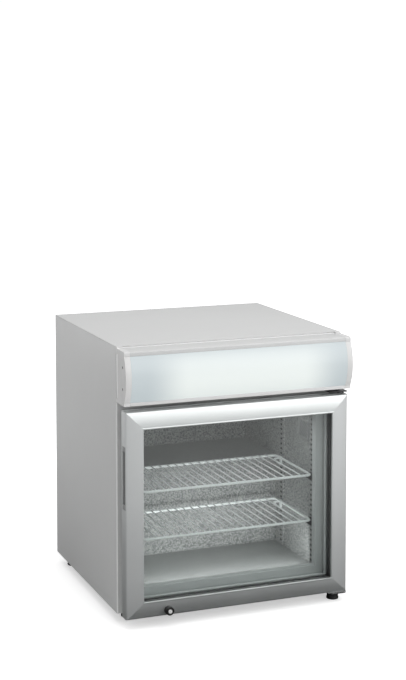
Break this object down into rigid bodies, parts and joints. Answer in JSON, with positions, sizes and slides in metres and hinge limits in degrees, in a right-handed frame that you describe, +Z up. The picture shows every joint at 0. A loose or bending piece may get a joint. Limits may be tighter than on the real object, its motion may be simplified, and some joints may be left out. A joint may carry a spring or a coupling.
{
  "type": "glass door merchandiser",
  "caption": "Counter-top glass door display freezer with a lit sign canopy over a swinging glazed door, wire shelves, and a sealed cooling unit behind.",
  "frame": {"origin": "on the floor, under the middle of the object's bounding box", "axes": "+Z up, the door and sign face -Y, the door's hinge is on the +X side"},
  "size_m": [0.57, 0.573, 0.652],
  "materials": {
    "cabinet_paint": "satin",
    "galvanised_steel": "satin",
    "insulation_foam": "matte",
    "embossed_liner": "satin",
    "frame_plastic": "satin",
    "white_plastic": "satin",
    "black_plastic": "satin",
    "red_plastic": "gloss",
    "opal_diffuser": "satin",
    "lamp_glass": "gloss",
    "black_steel": "satin",
    "white_wire": "satin",
    "coil_aluminium": "satin",
    "bright_steel": "polished",
    "anodised_frame": "satin",
    "clear_glass": "gloss",
    "gasket_rubber": "matte"
  },
  "bodies": {
    "root": {"left_side_panel": "cabinet_paint", "right_side_panel": "cabinet_paint", "top_panel": "cabinet_paint", "base_pan": "galvanised_steel", "insulation": "insulation_foam", "inner_liner": "embossed_liner", "breaker_frame": "frame_plastic", "upper_rear_panel": "galvanised_steel", "machine_cover": "galvanised_steel", "sign_top_profile": "white_plastic", "sign_bottom_profile": "white_plastic", "sign_diffuser": "opal_diffuser", "sign_left_cap": "white_plastic", "sign_right_cap": "white_plastic", "sign_reflector": "white_plastic", "sign_lamp": "lamp_glass", "lamp_holders": "white_plastic", "sign_screws": "black_steel", "pilasters": "embossed_liner", "upper_shelf": "white_wire", "lower_shelf": "white_wire", "shelf_clips": "black_plastic", "wall_vent": "frame_plastic", "compressor": "black_steel", "condenser": "black_steel", "condenser_shroud": "galvanised_steel", "condenser_fan_motor": "black_steel", "evaporator_cover": "white_plastic", "evaporator_coil": "coil_aluminium", "evaporator_fan_motor": "black_steel", "control_box": "black_plastic", "cord_gland": "black_plastic", "upper_hinge_bracket": "black_steel", "lower_hinge_bracket": "bright_steel", "hinge_pins": "galvanised_steel", "lock_keeper": "bright_steel"},
    "door": {"door_top_rail": "anodised_frame", "door_bottom_rail": "anodised_frame", "door_left_stile": "anodised_frame", "door_right_stile": "anodised_frame", "door_inner_frame": "white_plastic", "outer_glass": "clear_glass", "middle_glass": "clear_glass", "inner_glass": "clear_glass", "glass_spacers": "black_steel", "door_gasket": "gasket_rubber", "grip_insert": "black_plastic", "hinge_bushes": "black_plastic", "lock_barrel": "black_plastic"},
    "lock": {"lock_plug": "bright_steel", "lock_cam": "bright_steel"},
    "condenser_fan": {"condenser_fan_blade": "white_plastic"},
    "evaporator_fan": {"evaporator_fan_blade": "black_plastic"},
    "thermostat": {"thermostat_knob": "black_plastic"},
    "power_switch": {"power_rocker": "red_plastic"},
    "light_switch": {"light_rocker": "black_plastic"},
    "front_left_leveller": {"front_left_foot": "black_plastic"},
    "front_right_leveller": {"front_right_foot": "black_plastic"},
    "rear_left_leveller": {"rear_left_foot": "black_plastic"},
    "rear_right_leveller": {"rear_right_foot": "black_plastic"}
  },
  "joints": [
    {"name": "door_swing", "type": "hinge", "parent": "root", "child": "door", "pos_m": [0.27, -0.2515, 0.267], "axis": [0, 0, 1], "range_deg": [0, 110]},
    {"name": "lock_turn", "type": "hinge", "parent": "door", "child": "lock", "pos_m": [-0.179, -0.2635, 0.04], "axis": [0, 1, 0], "range_deg": [0, 90]},
    {"name": "condenser_fan_spin", "type": "hinge", "parent": "root", "child": "condenser_fan", "pos_m": [0.04, 0.1745, 0.134], "axis": [1, 0, 0], "continuous": true},
    {"name": "evaporator_fan_spin", "type": "hinge", "parent": "root", "child": "evaporator_fan", "pos_m": [0, -0.0835, 0.493], "axis": [0, 0, 1], "continuous": true},
    {"name": "thermostat_turn", "type": "hinge", "parent": "root", "child": "thermostat", "pos_m": [0.195, 0.2815, 0.193], "axis": [0, 1, 0], "range_deg": [0, 270]},
    {"name": "power_switch_rock", "type": "hinge", "parent": "root", "child": "power_switch", "pos_m": [0.172, 0.273, 0.137], "axis": [1, 0, 0], "range_deg": [0, 20]},
    {"name": "light_switch_rock", "type": "hinge", "parent": "root", "child": "light_switch", "pos_m": [0.218, 0.273, 0.137], "axis": [1, 0, 0], "range_deg": [0, 20]},
    {"name": "front_left_foot_turn", "type": "hinge", "parent": "root", "child": "front_left_leveller", "pos_m": [-0.245, -0.1685, 0.013], "axis": [0, 0, 1], "continuous": true},
    {"name": "front_right_foot_turn", "type": "hinge", "parent": "root", "child": "front_right_leveller", "pos_m": [0.26, -0.2345, 0.013], "axis": [0, 0, 1], "continuous": true},
    {"name": "rear_left_foot_turn", "type": "hinge", "parent": "root", "child": "rear_left_leveller", "pos_m": [-0.255, 0.2415, 0.013], "axis": [0, 0, 1], "continuous": true},
    {"name": "rear_right_foot_turn", "type": "hinge", "parent": "root", "child": "rear_right_leveller", "pos_m": [0.255, 0.2415, 0.013], "axis": [0, 0, 1], "continuous": true}
  ]
}
